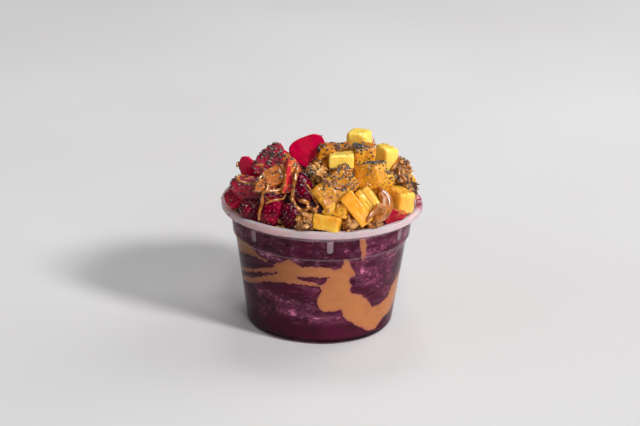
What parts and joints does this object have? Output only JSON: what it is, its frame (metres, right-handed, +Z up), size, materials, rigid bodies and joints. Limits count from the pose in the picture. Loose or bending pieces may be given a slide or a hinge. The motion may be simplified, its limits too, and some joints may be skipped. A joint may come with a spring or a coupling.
{
  "type": "pitaya bowl",
  "caption": "Clear tapered deli tub filled with blended pitaya and smeared peanut butter, heaped with granola, mango cubes, strawberry pieces, chia seeds and drizzle.",
  "frame": {"origin": "middle of the tub's foot, on the surface that it stands on", "axes": "+Z up along the tub's axis, -Y the front with the large peanut butter smear, +X to the right seen from the front"},
  "size_m": [0.117, 0.117, 0.1183],
  "materials": {
    "tub": "translucent polypropylene, satin",
    "pitaya": "smooth blended fruit with frosty flecks",
    "peanut_butter": "smooth paste, soft sheen",
    "granola": "toasted oats, dry",
    "mango": "fresh cut fruit, moist",
    "strawberry": "fresh cut fruit, moist"
  },
  "bodies": {
    "root": {"tub": "tub", "pitaya_filling": "pitaya", "peanut_butter_front": "peanut_butter", "peanut_butter_front_drip": "peanut_butter", "peanut_butter_back": "peanut_butter", "peanut_butter_back_drip": "peanut_butter", "granola": "granola", "mango_01": "mango", "mango_02": "mango", "mango_03": "mango", "mango_04": "mango", "mango_05": "mango", "mango_06": "mango", "mango_07": "mango", "mango_08": "mango", "mango_09": "mango", "mango_10": "mango", "mango_11": "mango", "mango_12": "mango", "mango_13": "mango", "mango_14": "mango", "mango_15": "mango", "mango_16": "mango", "mango_17": "mango", "mango_18": "mango", "mango_19": "mango", "mango_20": "mango", "mango_21": "mango", "mango_22": "mango", "strawberry_01": "strawberry", "strawberry_02": "strawberry", "strawberry_03": "strawberry", "strawberry_04": "strawberry", "strawberry_05": "strawberry", "strawberry_06": "strawberry", "strawberry_07": "strawberry", "strawberry_08": "strawberry", "strawberry_09": "strawberry", "strawberry_10": "strawberry", "strawberry_11": "strawberry", "strawberry_12": "strawberry", "strawberry_13": "strawberry", "strawberry_14": "strawberry", "strawberry_15": "strawberry", "strawberry_16": "strawberry", "strawberry_17": "strawberry", "strawberry_18": "strawberry", "strawberry_19": "strawberry", "strawberry_20": "strawberry", "strawberry_21": "strawberry"}
  },
  "joints": []
}
